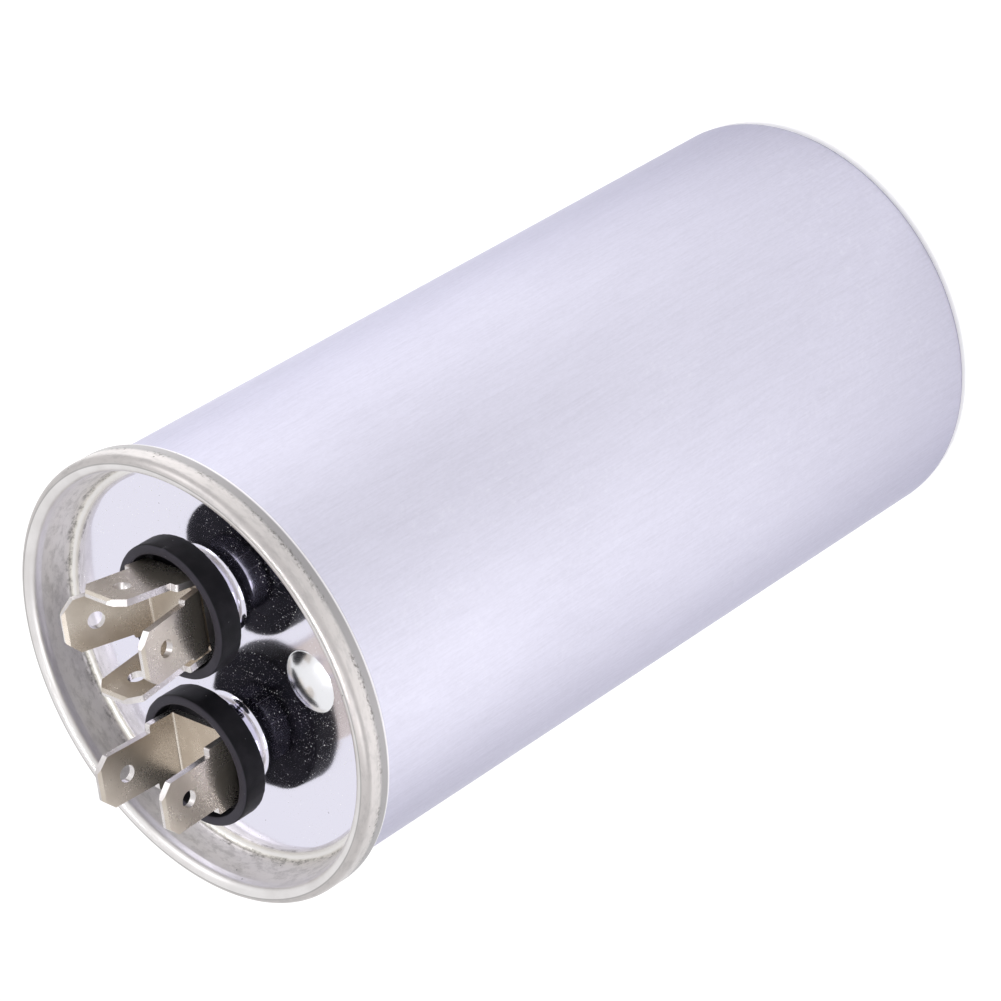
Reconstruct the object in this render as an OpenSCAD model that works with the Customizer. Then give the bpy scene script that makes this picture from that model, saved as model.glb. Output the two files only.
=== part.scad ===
// Round motor run capacitor: drawn can, double-seamed lid, and two insulated terminals
// that carry folded quick-connect blades. Millimetres, +Z up, origin at the centre of the
// can's flat bottom. The two terminals lie on the X axis.

/* [Can] */
// Outside diameter of the can
can_d = 50.8; // [45:0.1:60]
// Height from the flat bottom to the top of the seam
can_h = 103.8; // [85:0.1:125]
// Wall of the drawn can
can_wall = 0.35; // [0.25:0.05:0.5]
// Thickness of the can's bottom
can_floor = 0.6; // [0.4:0.05:1.2]
// Outside radius of the can's bottom edge
foot_r = 1.4; // [1:0.1:3]

/* [Lid and seam] */
// Sheet of the drawn lid
lid_t = 0.35; // [0.25:0.05:0.45]
// Slack between neighbouring layers of the double seam
seam_gap = 0.05; // [0.03:0.01:0.08]
// Height of the double seam
seam_h = 3.8; // [3.2:0.1:5]
// Depth of the lid's panel below the top of the seam
panel_depth = 5.3; // [4.8:0.1:6.5]
// Straight length of the chuck wall under the seam's crown
chuck_straight = 0.6; // [0.3:0.1:1]
// Distance by which the chuck wall leans inwards at its foot
chuck_in = 0.85; // [0.4:0.05:1.5]
// Radius of the countersink groove at the foot of the chuck wall
groove_r = 0.75; // [0.6:0.05:1]
// Depth of the countersink groove below the panel
groove_depth = 0.1; // [0.05:0.05:0.5]

/* [Terminal posts] */
// Distance between the two terminal posts
post_pitch = 18.4; // [17.4:0.1:20]
// Outside radius of the raised collars of the lid
collar_r = 4.4; // [4.2:0.1:5.5]
// Height of the collars above the panel
collar_h = 3; // [2.4:0.1:3.5]
// Outside radius at the foot of the collars
collar_foot_r = 0.6; // [0.4:0.1:1]
// Outside radius at the top edge of the collars
collar_top_r = 0.5; // [0.4:0.1:0.9]
// Hole in the top of each collar
collar_bore_d = 6; // [5:0.1:6.4]

/* [Insulator cups] */
// Outside diameter of the insulator cups
cup_d = 15.8; // [15.6:0.1:16.6]
// Wall of the insulator cups
cup_wall = 1.15; // [0.8:0.05:1.2]
// Floor of the insulator cups
cup_floor = 0.8; // [0.6:0.1:1.2]
// Height of the insulator cups
cup_h = 3.05; // [2.4:0.05:4]
// Rounding of the rim of the insulator cups
cup_edge = 0.3; // [0.1:0.05:0.4]

/* [Quick-connect brackets] */
// Thickness of the tab stock
tab_t = 0.8; // [0.5:0.1:0.9]
// Width of a blade
tab_w = 6.35; // [4.8:0.05:6.6]
// Length of a blade above its shoulders
tab_l = 7.6; // [6:0.1:9]
// Chamfer of the blade's tip across its width
tip_w = 1.2; // [0.6:0.1:1.6]
// Chamfer of the blade's tip along its length
tip_l = 1.2; // [0.6:0.1:1.8]
// Detent hole in each blade
hole_d = 2; // [1.4:0.1:2.4]
// Centre of the detent hole below the tip
hole_drop = 3.7; // [3:0.1:4.5]
// Inside radius of the folds
fold_r = 0.3; // [0.2:0.05:0.4]
// Rounding of the outer corners of the shoulders
shoulder_r = 0.3; // [0.1:0.05:0.4]
// Length of the bevel on both faces of a blade's tip
bevel_l = 1; // [0.5:0.1:1.5]
// Depth of the bevel on each face of a blade's tip
bevel_t = 0.2; // [0.05:0.05:0.22]
// Width of the root of the lower brackets
root_w = 8.2; // [7.4:0.1:8.4]
// Height of the shoulders of the lower brackets above their base
root_h = 3.4; // [2.6:0.1:4.5]
// Gap between the blades of the lower brackets, at the base
span = 8.2; // [8:0.1:8.4]
// Width of the root of the upper bracket
upper_root_w = 7.3; // [6.8:0.1:7.4]
// Height of the shoulders of the upper bracket above its base
upper_root_h = 2.5; // [1.8:0.1:3.5]
// Gap between the blades of the upper bracket, at its base
upper_span = 7.4; // [6.8:0.1:7.8]
// Outward lean of the blades on the two-way terminal
lean_two_way = 3; // [0:0.5:6]
// Outward lean of the lower bracket's blade nearer the rim
lean_outer = 9; // [0:0.5:10]
// Outward lean of the lower bracket's blade nearer the two-way terminal
lean_inner = 6.5; // [0:0.5:10]
// Outward lean of the upper bracket's blade on the -Y side
lean_front = 9; // [0:0.5:15]
// Outward lean of the upper bracket's blade on the +Y side
lean_back = 20; // [0:0.5:24]

/* [Filling hole] */
// Distance of the filling hole from the can's axis
fill_r = 13.6; // [11.5:0.1:17]
// Angle of the filling hole about the can's axis
fill_angle = -83; // [-100:1:-80]
// Hole in the lid for filling
fill_hole_d = 2.4; // [1.5:0.1:4]
// Diameter of the domed seal over the filling hole
seal_d = 7.4; // [5:0.1:8]
// Height of the domed seal above the panel
seal_h = 1.1; // [0.6:0.1:2]

/* [Inside the collars] */
// Diameter of the terminal studs
stud_d = 3.4; // [2.5:0.1:4]
// Diameter of the studs' heads
stud_head_d = 7; // [5.5:0.1:8]
// Thickness of the studs' heads
stud_head_t = 0.8; // [0.6:0.1:1.5]
// Radial clearance of pieces that slip over or into one another
slip = 0.05; // [0.02:0.01:0.1]
// Thickness of the rubber grommets' flange
grommet_t = 1.2; // [0.8:0.1:2]
// Distance by which the inner insulating washers stand out below the lid
washer_proud = 0.6; // [0.3:0.1:1.5]
// Thickness of the solder lugs
lug_t = 0.5; // [0.3:0.05:0.8]
// Diameter of the eye of the solder lugs
lug_d = 8; // [6:0.1:9]
// Width of the lugs' tails
lug_tail_w = 3.6; // [3:0.1:5]
// Reach of the lugs' tails from the stud's axis
lug_reach = 8; // [7.6:0.1:8.6]

/* [Winding] */
// Space between the winding and the liner
winding_slack = 0.25; // [0.1:0.05:0.6]
// Wall of the insulating liner
liner_t = 0.5; // [0.3:0.05:1]
// Space between the liner and the can
liner_slack = 0.1; // [0.05:0.05:0.3]
// Height of the wall of the bottom cup
bottom_cup_h = 9; // [5:0.5:15]
// Thickness of the bottom cup's floor
bottom_cup_t = 1; // [0.6:0.1:2]
// Room between the top disc and the heads of the studs
headroom = 6.25; // [5:0.25:30]
// Thickness of the sprayed metal end contacts
spray_t = 0.8; // [0.4:0.1:1.2]
// Outside diameter of the core tube
core_d = 11; // [8:0.1:14]
// Wall of the core tube
core_wall = 1; // [0.8:0.1:2]
// Length of the core tube that stands out of each end of the winding
core_proud = 1; // [0.8:0.1:2]
// Thickness of the disc above the winding
disc_t = 1.2; // [0.8:0.1:2]
// Thickness of the lead strips
lead_t = 0.3; // [0.2:0.05:0.5]
// Width of the lead strips
lead_w = 3; // [2:0.1:4]
// Length of the leads' feet on the end contacts
lead_foot = 8; // [5:0.5:10]
// Length of the leads' pads under the lugs
lead_pad = 2.5; // [1.5:0.1:3]
// Diameter of the notches that weaken the leads
notch_d = 1.6; // [0.8:0.1:1.8]
// Clearance of the passages for the leads
lead_clear = 0.5; // [0.2:0.1:1]
// Height of the liner above the top disc
liner_over = 3; // [1:0.5:4]

/* [Hidden] */
$fn = 96;
// Overshoot of a cut past the face that it opens
cut = 1;
// Overlap of two flush shapes that are joined into one piece
lap = 0.05;
// Step between a bracket's base and its folds
crease = 0.01;

can_r = can_d / 2;
can_inner_r = can_r - can_wall;

// Double seam, from the outside in. Both turns share one centre.
hook_inner_r = can_r + 2 * seam_gap + lid_t;
chuck_outer_r = can_inner_r - seam_gap;
turn_r = can_r + seam_gap + lid_t / 2;
body_turn_inner = seam_gap + lid_t / 2;
cover_turn_inner = body_turn_inner + can_wall + seam_gap;
curl_r = hook_inner_r + can_wall / 2;
curl_inner = seam_gap + can_wall / 2;
// Heights of the rim's own shapes, from the top of the seam
turn_z = -cover_turn_inner - lid_t;
curl_z = curl_inner + lid_t - seam_h;
// The hooks overlap and stop just short of the turn that they face
cover_hook_top = turn_z - body_turn_inner / 2;
body_hook_end = curl_z + curl_inner / 2;
bead_w = 1.3 * body_turn_inner;
bead_rise = 0.65 * body_turn_inner;

panel_down = -panel_depth;
chuck_foot_r = chuck_outer_r - chuck_in;
chuck_bend_z = turn_z - chuck_straight;
groove_z = panel_down - groove_depth + groove_r;
groove_mid_r = chuck_foot_r - lid_t - groove_r;
groove_half_w = sqrt(groove_r * groove_r - (groove_r - groove_depth) * (groove_r - groove_depth));
panel_r = groove_mid_r - groove_half_w;

// Lid
panel_z = can_h - panel_depth;
collar_z = panel_z + collar_h;
collar_inner_r = collar_r - lid_t;
collar_skirt_r = collar_r + collar_foot_r;
fill_pos = [fill_r * cos(fill_angle), fill_r * sin(fill_angle)];
post_x = post_pitch / 2;

// Terminal stack, upwards from the collar
cup_bore_d = stud_d + 2 * slip;
base_z = collar_z + cup_floor;
upper_base_z = base_z + tab_t;
// Terminal stack, downwards from the collar
grommet_z = collar_z - lid_t - grommet_t;
washer_z = panel_z - lid_t - washer_proud;
lug_z = washer_z - lug_t;
stud_z = lug_z - stud_head_t;
grommet_r = collar_inner_r - slip;

// Winding stack, upwards from the can's bottom
cup_floor_z = can_floor + bottom_cup_t;
spray_z = cup_floor_z + core_proud;
winding_z = spray_z + spray_t;
disc_top = stud_z - headroom;
disc_z = disc_top - disc_t;
spray_top_z = disc_z - core_proud - spray_t;
winding_h = spray_top_z - winding_z;
bottom_cup_top = can_floor + bottom_cup_h;
liner_r = can_inner_r - liner_slack;
winding_r = liner_r - liner_t - winding_slack;
core_r = core_d / 2;
core_bore_r = core_r - core_wall;
disc_r = liner_r - liner_t - slip;
disc_hole_d = lead_w + 4 * lead_clear;
notch_z = (disc_top + lug_z) / 2;

can_colour = [0.80, 0.80, 0.84];
tin_colour = [0.78, 0.76, 0.74];
black_colour = [0.12, 0.12, 0.13];
rubber_colour = [0.35, 0.20, 0.16];
card_colour = [0.72, 0.60, 0.42];
film_colour = [0.88, 0.84, 0.74];
zinc_colour = [0.60, 0.61, 0.62];
plastic_colour = [0.90, 0.90, 0.86];

// Half section of a round block from the axis out to r, with its bottom edge rounded
module rounded_section(r, edge, h) {
    translate([0, edge]) square([r, h - edge]);
    square([r - edge, h]);
    translate([r - edge, edge]) circle(edge);
}

// Half section of a straight limb of sheet between two radii
module limb(r0, r1, z0, z1) {
    translate([r0, z0]) square([r1 - r0, z1 - z0]);
}

// Half section of sheet turned over the top, round [0, 0], with a limb down on each side
module turn(inner, t, left, right) {
    outer = inner + t;
    difference() {
        union() {
            circle(outer);
            translate([-outer, -left]) square([outer, left]);
            translate([0, -right]) square([outer, right]);
        }
        circle(inner);
        translate([-inner, -left - right]) square([2 * inner, left + right]);
        translate([-outer - cut, -left - outer]) square([outer + cut, outer]);
        translate([0, -right - outer]) square([outer + cut, outer]);
    }
}

// A round disc with a round hole, standing on z
module ring(r, hole_r, z, t) {
    translate([0, 0, z]) difference() {
        cylinder(r = r, h = t);
        translate([0, 0, -cut]) cylinder(r = hole_r, h = t + 2 * cut);
    }
}

module can() {
    wall_top = can_h + turn_z;
    color(can_colour) rotate_extrude() {
        difference() {
            rounded_section(can_r, foot_r, wall_top);
            translate([0, can_floor]) rounded_section(can_inner_r, foot_r - can_wall, wall_top);
        }
        translate([turn_r, wall_top])
            turn(body_turn_inner, can_wall, seam_h, turn_z - body_hook_end);
    }
}

// Seamed rim, chuck wall, countersink groove and flat panel, from the top of the seam down
module lid_section() {
    translate([turn_r, turn_z]) turn(cover_turn_inner, lid_t, chuck_straight, turn_z - curl_z);
    translate([curl_r, curl_z]) mirror([0, 1])
        turn(curl_inner, lid_t, cover_hook_top - curl_z, turn_z - curl_z);
    polygon([
        [chuck_outer_r - lid_t, turn_z],
        [chuck_outer_r, turn_z],
        [chuck_outer_r, chuck_bend_z],
        [chuck_foot_r, groove_z],
        [chuck_foot_r, groove_z - lap],
        [chuck_foot_r - lid_t, groove_z - lap],
        [chuck_foot_r - lid_t, groove_z],
        [chuck_outer_r - lid_t, chuck_bend_z]
    ]);
    intersection() {
        translate([groove_mid_r, groove_z]) difference() {
            circle(groove_r + lid_t);
            circle(groove_r);
        }
        union() {
            limb(groove_mid_r, chuck_foot_r + lap, groove_z - 2 * groove_r, groove_z);
            limb(panel_r - lid_t, groove_mid_r + lap, groove_z - 2 * groove_r, panel_down);
        }
    }
    limb(0, panel_r, panel_down - lid_t, panel_down);
}

// Raised collar with rounded foot and top edge, from the panel up
module collar_section() {
    difference() {
        translate([0, collar_h]) mirror([0, 1])
            rounded_section(collar_r, collar_top_r, collar_h - collar_foot_r + lap);
        translate([0, collar_h - lid_t]) mirror([0, 1])
            rounded_section(collar_inner_r, collar_top_r - lid_t, collar_h);
        translate([0, -cut]) square([collar_bore_d / 2, collar_h + 2 * cut]);
    }
    limb(collar_skirt_r - lap, collar_skirt_r + lap, -lid_t, 0);
    translate([collar_skirt_r, collar_foot_r]) intersection() {
        difference() {
            circle(collar_foot_r + lid_t);
            circle(collar_foot_r);
        }
        translate([-collar_foot_r - 2 * lid_t, -collar_foot_r - 2 * lid_t])
            square(collar_foot_r + 2 * lid_t);
    }
}

module lid() {
    color(tin_colour) {
        difference() {
            translate([0, 0, can_h]) rotate_extrude() lid_section();
            for (x = [-post_x, post_x]) {
                translate([x, 0, panel_z - lid_t - cut])
                    cylinder(r = collar_skirt_r, h = lid_t + 2 * cut);
            }
            translate([fill_pos[0], fill_pos[1], panel_z - lid_t - cut])
                cylinder(d = fill_hole_d, h = lid_t + 2 * cut);
        }
        for (x = [-post_x, post_x]) {
            translate([x, 0, panel_z]) rotate_extrude() collar_section();
        }
    }
}

// Flat ring of sealing compound in the arch of the can's hook
module seam_compound() {
    color(black_colour) translate([0, 0, can_h]) rotate_extrude()
        limb(turn_r - bead_w / 2, turn_r + bead_w / 2, cover_hook_top + seam_gap / 2, turn_z + bead_rise);
}

// Domed solder seal with a plug that fills the hole in the lid
module fill_seal() {
    edge_r = seal_d / 2;
    dome_r = (edge_r * edge_r + seal_h * seal_h) / (2 * seal_h);
    color(tin_colour) translate([fill_pos[0], fill_pos[1], panel_z]) rotate_extrude() {
        intersection() {
            translate([0, seal_h - dome_r]) circle(dome_r);
            limb(0, edge_r, 0, seal_h);
        }
        limb(0, fill_hole_d / 2 - slip, -lid_t - slip, seal_h / 2);
    }
}

// Insulator cup with a rounded rim and a hole in its floor for the stud
module insulator_cup(x) {
    r = cup_d / 2;
    inner = r - cup_wall;
    rim_z = cup_h - cup_edge;
    color(black_colour) translate([x, 0, collar_z]) rotate_extrude() {
        limb(cup_bore_d / 2, r, 0, cup_floor);
        limb(inner, r, 0, rim_z);
        limb(inner + cup_edge, r - cup_edge, 0, cup_h);
        for (edge = [inner + cup_edge, r - cup_edge]) {
            translate([edge, rim_z]) circle(cup_edge);
        }
    }
}

module cup_four_way() {
    insulator_cup(post_x);
}

module cup_two_way() {
    insulator_cup(-post_x);
}

// Side view of a bevelled blade; y runs up from the centre of the fold
module blade_profile(tip) {
    translate([fold_r, 0]) polygon([
        [0, 0],
        [tab_t, 0],
        [tab_t, tip - bevel_l],
        [tab_t - bevel_t, tip],
        [bevel_t, tip],
        [0, tip - bevel_l]
    ]);
}

// Side view of a fold that ends at the foot of its blade and starts where the base ends
module fold_profile(lean) {
    outer = fold_r + tab_t;
    reach = 2 * outer;
    intersection() {
        difference() {
            circle(outer);
            circle(fold_r);
        }
        polygon([
            [0, 0],
            [reach * sin(lean), -reach * cos(lean)],
            [reach, -reach],
            [reach, 0]
        ]);
    }
}

// What is cut from the stock of one blade: all beside its shoulders and its tip, and the hole
module blade_waste(root, shoulder) {
    tip = shoulder + tab_l;
    corner_x = root / 2 - shoulder_r;
    corner_y = shoulder - shoulder_r;
    top = tip + lap;
    top_x = tab_w / 2 - tip_w * (1 + lap / tip_l);
    difference() {
        translate([-root / 2 - cut, corner_y]) square([root + 2 * cut, top - corner_y]);
        translate([-corner_x, 0]) square([2 * corner_x, shoulder]);
        for (x = [-corner_x, corner_x]) {
            translate([x, corner_y]) circle(shoulder_r);
        }
        polygon([
            [-tab_w / 2, 0],
            [tab_w / 2, 0],
            [tab_w / 2, tip - tip_l],
            [top_x, top],
            [-top_x, top],
            [-tab_w / 2, tip - tip_l]
        ]);
    }
    translate([0, tip - hole_drop]) circle(d = hole_d);
}

// Folded U bracket, base down, with blades on the -Y and +Y sides
module bracket(gap, root, root_height, lean_minus, lean_plus) {
    flat = gap / 2 - fold_r;
    fold_z = tab_t + fold_r + crease;
    shoulder = tab_t + root_height - fold_z;
    difference() {
        translate([-root / 2, 0, 0]) rotate([90, 0, 90]) linear_extrude(root) {
            translate([-flat - lap, 0]) square([2 * (flat + lap), tab_t]);
            for (side = [[0, lean_plus], [1, lean_minus]]) {
                mirror([side[0], 0]) translate([flat, fold_z]) rotate(-side[1]) {
                    fold_profile(side[1]);
                    blade_profile(shoulder + tab_l);
                }
            }
        }
        for (side = [[0, lean_plus], [180, lean_minus]]) {
            rotate([0, 0, side[0]]) translate([0, flat, fold_z]) rotate([-side[1], 0, 0])
                translate([0, fold_r + tab_t + cut, 0]) rotate([90, 0, 0])
                    linear_extrude(tab_t + 2 * cut) blade_waste(root, shoulder);
        }
    }
}

module bracket_lower() {
    color(tin_colour) translate([post_x, 0, base_z]) rotate([0, 0, 90])
        bracket(span, root_w, root_h, lean_outer, lean_inner);
}

module bracket_upper() {
    color(tin_colour) translate([post_x, 0, upper_base_z])
        bracket(upper_span, upper_root_w, upper_root_h, lean_front, lean_back);
}

module bracket_two_way() {
    color(tin_colour) translate([-post_x, 0, base_z])
        bracket(span, root_w, root_h, lean_two_way, lean_two_way);
}

// Headed stud whose plain end is welded to the underside of the bracket
module stud(x) {
    color(tin_colour) translate([x, 0, stud_z]) {
        cylinder(d = stud_head_d, h = stud_head_t);
        cylinder(d = stud_d, h = base_z - stud_z);
    }
}

module stud_four_way() {
    stud(post_x);
}

module stud_two_way() {
    stud(-post_x);
}

// Flanged rubber bush that fills the collar's hole round the stud
module grommet(x) {
    color(rubber_colour) translate([x, 0, 0]) rotate_extrude() {
        limb(stud_d / 2 + slip, grommet_r, grommet_z, collar_z - lid_t);
        limb(stud_d / 2 + slip, collar_bore_d / 2 - slip, collar_z - lid_t, collar_z);
    }
}

module grommet_four_way() {
    grommet(post_x);
}

module grommet_two_way() {
    grommet(-post_x);
}

module washer_four_way() {
    color(card_colour) translate([post_x, 0, 0])
        ring(grommet_r, stud_d / 2 + slip, washer_z, grommet_z - washer_z);
}

module washer_two_way() {
    color(card_colour) translate([-post_x, 0, 0])
        ring(grommet_r, stud_d / 2 + slip, washer_z, grommet_z - washer_z);
}

// Solder lug with its tail along +X
module lug() {
    difference() {
        union() {
            cylinder(d = lug_d, h = lug_t);
            translate([0, -lug_tail_w / 2, 0]) cube([lug_reach, lug_tail_w, lug_t]);
        }
        translate([0, 0, -cut]) cylinder(d = stud_d + 2 * slip, h = lug_t + 2 * cut);
    }
}

module lug_four_way() {
    color(tin_colour) translate([post_x, 0, lug_z]) rotate([0, 0, -90]) lug();
}

module lug_two_way() {
    color(tin_colour) translate([-post_x, 0, lug_z]) lug();
}

// Lead strip along +X from a stud's axis: pad under the lug, drop, and a foot that ends at
// foot_end. The notches weaken it, so that it parts when the lid is pushed up.
module lead(foot_z, foot_end) {
    drop = lug_reach - lead_t;
    difference() {
        union() {
            translate([lug_reach - lead_pad, -lead_w / 2, lug_z - lead_t])
                cube([lead_pad, lead_w, lead_t]);
            translate([drop, -lead_w / 2, foot_z]) cube([lead_t, lead_w, lug_z - foot_z]);
            translate([drop, -lead_w / 2, foot_z]) cube([foot_end - drop, lead_w, lead_t]);
        }
        for (side = [-1, 1]) {
            translate([drop - cut, side * lead_w / 2, notch_z]) rotate([0, 90, 0])
                cylinder(d = notch_d, h = lead_t + 2 * cut);
        }
    }
}

module lead_top() {
    color(tin_colour) translate([post_x, 0, 0]) rotate([0, 0, -90])
        lead(spray_top_z + spray_t, lug_reach + lead_foot);
}

module lead_bottom() {
    color(tin_colour) translate([-post_x, 0, 0])
        lead(spray_z - lead_t, post_x + core_r + lead_foot);
}

module top_disc() {
    color(card_colour) difference() {
        translate([0, 0, disc_z]) cylinder(r = disc_r, h = disc_t);
        for (at = [[lug_reach - post_x, 0], [post_x, -lug_reach]]) {
            translate([at[0], at[1], disc_z - cut]) cylinder(d = disc_hole_d, h = disc_t + 2 * cut);
        }
    }
}

module winding() {
    color(film_colour) ring(winding_r, core_r + slip, winding_z, winding_h);
}

// Core tube, notched at its foot for the bottom lead
module core_tube() {
    color(plastic_colour) difference() {
        ring(core_r, core_bore_r, cup_floor_z, disc_z - cup_floor_z);
        translate([0, -lead_w / 2 - slip, cup_floor_z - cut])
            cube([core_r + cut, lead_w + 2 * slip, spray_z - cup_floor_z + cut]);
    }
}

module end_spray_top() {
    color(zinc_colour) ring(winding_r, core_r + slip, spray_top_z, spray_t);
}

module end_spray_bottom() {
    color(zinc_colour) ring(winding_r, core_r + slip, spray_z, spray_t);
}

module liner_sleeve() {
    color(card_colour)
        ring(liner_r, liner_r - liner_t, bottom_cup_top, disc_top + liner_over - bottom_cup_top);
}

module bottom_cup() {
    color(plastic_colour) rotate_extrude() difference() {
        translate([0, can_floor]) rounded_section(liner_r, foot_r - can_wall, bottom_cup_h);
        translate([0, cup_floor_z]) square([liner_r - liner_t, bottom_cup_h]);
    }
}

can();
lid();
seam_compound();
fill_seal();
cup_four_way();
cup_two_way();
bracket_lower();
bracket_upper();
bracket_two_way();
stud_four_way();
stud_two_way();
grommet_four_way();
grommet_two_way();
washer_four_way();
washer_two_way();
lug_four_way();
lug_two_way();
lead_top();
lead_bottom();
top_disc();
winding();
core_tube();
end_spray_top();
end_spray_bottom();
liner_sleeve();
bottom_cup();
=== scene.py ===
"""Looks of a round motor run capacitor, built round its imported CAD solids.

The can, the lid, the filling seal, the insulator cups and the blade brackets are built again
with the finer form and finish of the real pieces. The sealed pieces inside keep their solids
and get a finish. Lengths are in millimetres in the classes and in metres in the meshes.
"""

import logging
import math
from dataclasses import dataclass, field
from enum import Enum
from typing import Any, Callable, Iterable, Sequence

import bmesh
import bpy
from mathutils import Matrix, Vector, noise
from mathutils.geometry import delaunay_2d_cdt


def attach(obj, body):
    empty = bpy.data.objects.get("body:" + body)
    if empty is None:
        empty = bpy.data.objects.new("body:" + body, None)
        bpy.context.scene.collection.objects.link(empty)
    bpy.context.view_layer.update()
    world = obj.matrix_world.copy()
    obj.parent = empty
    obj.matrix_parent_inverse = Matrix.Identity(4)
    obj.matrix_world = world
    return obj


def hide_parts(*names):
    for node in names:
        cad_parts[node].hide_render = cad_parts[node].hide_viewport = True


log = logging.getLogger("capacitor")

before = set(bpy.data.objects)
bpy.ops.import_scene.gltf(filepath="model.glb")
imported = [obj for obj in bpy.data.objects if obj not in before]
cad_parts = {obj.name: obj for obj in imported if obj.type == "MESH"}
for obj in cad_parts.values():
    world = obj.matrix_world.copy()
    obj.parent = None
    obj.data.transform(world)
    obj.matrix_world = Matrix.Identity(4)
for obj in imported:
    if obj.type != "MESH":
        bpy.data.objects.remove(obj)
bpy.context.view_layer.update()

MM = 0.001
WELD = 0.0005
SAME_POINT = 1e-6
BODY = "root"

Point = tuple[float, float]
Limits = tuple[float, float]
Triple = tuple[float, float, float]
Colour = tuple[float, float, float]
Corner = tuple[float, float, float]


class Slot(Enum):
    """The record's material slots of the pieces that are built again."""

    CAN = "can_aluminium"
    LID = "lid_tinplate"
    SOLDER = "solder"
    BLACK_PLASTIC = "black_plastic"
    TINNED_STEEL = "tinned_steel"


class Lay(Enum):
    """How a pattern lies on a piece."""

    ALONG_AXES = "along the axes"
    ROUND_Z = "round the Z axis"


# ---------------------------------------------------------------------------
# Shader building
# ---------------------------------------------------------------------------


@dataclass(frozen=True)
class Grain:
    """A noise pattern.

    Its cells are counted per millimetre along each axis. Where it lies round the Z axis, they
    are counted per radian, and then per millimetre of radius and of height.
    """

    cells: Triple
    octaves: float = 3.0
    rough: float = 0.5
    cut: Limits = (0.3, 0.7)
    lay: Lay = Lay.ALONG_AXES


@dataclass(frozen=True)
class Specks:
    """Round specks in a share of the cells of a pattern, with sizes as shares of a cell."""

    size: float
    share: float
    cells: float
    flat: bool = False
    smallest: float = 0.3
    soft_edge: float = 0.25
    pick_edge: float = 0.01


class Value:
    """A shader socket that holds a number and takes arithmetic."""

    def __init__(self, work: "NodeWork", socket: bpy.types.NodeSocket) -> None:
        """Wraps an output socket of a node."""
        self.work = work
        self.socket = socket

    def _math(self, operation: str, *terms: Any) -> "Value":
        """Adds one Math node.

        Args:
            operation: The Math node's operation.
            terms: Its operands, numbers or Values.

        Returns:
            The node's result.
        """
        settings = {"operation": operation}
        node = self.work.node("ShaderNodeMath", settings, dict(enumerate(terms)))
        return Value(self.work, node.outputs[0])

    def __add__(self, other: Any) -> "Value":
        """Sum."""
        return self._math("ADD", self, other)

    def __radd__(self, other: Any) -> "Value":
        """Sum with a number on the left."""
        return self._math("ADD", other, self)

    def __sub__(self, other: Any) -> "Value":
        """Difference."""
        return self._math("SUBTRACT", self, other)

    def __rsub__(self, other: Any) -> "Value":
        """Difference from a number on the left."""
        return self._math("SUBTRACT", other, self)

    def __mul__(self, other: Any) -> "Value":
        """Product."""
        return self._math("MULTIPLY", self, other)

    def __rmul__(self, other: Any) -> "Value":
        """Product with a number on the left."""
        return self._math("MULTIPLY", other, self)

    def size(self) -> "Value":
        """The value without its sign."""
        return self._math("ABSOLUTE", self)

    def root(self) -> "Value":
        """Square root."""
        return self._math("SQRT", self)

    def larger(self, other: Any) -> "Value":
        """The larger of this and another value."""
        return self._math("MAXIMUM", self, other)

    def angle_over(self, across: "Value") -> "Value":
        """The angle from the X axis of the point (across, this), in radians."""
        return self._math("ARCTAN2", self, across)

    def step(self, limits: Limits) -> "Value":
        """A smooth step.

        Args:
            limits: The value at which the step is 0 and the one, above or below it, at which
                the step is 1.

        Returns:
            A value from 0 to 1.
        """
        settings = {"interpolation_type": "SMOOTHSTEP", "clamp": True}
        inputs = {"Value": self, "From Min": limits[0], "From Max": limits[1]}
        node = self.work.node("ShaderNodeMapRange", settings, inputs)
        return Value(self.work, node.outputs["Result"])


class NodeWork:
    """A node tree under construction, with short ways to add nodes."""

    def __init__(self, tree: bpy.types.NodeTree) -> None:
        """Empties a tree to build it anew."""
        self.tree = tree
        tree.nodes.clear()

    def node(
        self,
        kind: str,
        settings: dict[str, Any] | None = None,
        inputs: dict[str | int, Any] | None = None,
    ) -> bpy.types.Node:
        """Adds a node.

        Args:
            kind: The node's type.
            settings: Properties that are set first.
            inputs: Values, sockets or Values for its inputs, by name or number.

        Returns:
            The node.
        """
        node = self.tree.nodes.new(kind)
        for key, value in (settings or {}).items():
            setattr(node, key, value)
        for key, value in (inputs or {}).items():
            self.feed(node.inputs[key], value)
        return node

    def feed(self, target: bpy.types.NodeSocket, value: Any) -> None:
        """Links a socket or sets its value.

        Args:
            target: The input socket.
            value: A number, a colour, a socket or a Value.
        """
        if isinstance(value, Value):
            value = value.socket
        if isinstance(value, bpy.types.NodeSocket):
            self.tree.links.new(value, target)
        elif isinstance(value, tuple) and target.type == "RGBA":
            target.default_value = (*value, 1.0)
        else:
            target.default_value = value

    def seen(self) -> Value:
        """Tells what is seen from what gives light.

        Returns:
            1 for the camera's rays and for mirrored and refracted ones, and 0 for the rest.
        """
        path = self.node("ShaderNodeLightPath")
        rays = ("Is Camera Ray", "Is Glossy Ray", "Is Transmission Ray")
        camera, glossy, refracted = (Value(self, path.outputs[name]) for name in rays)
        return camera.larger(glossy).larger(refracted)


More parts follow.
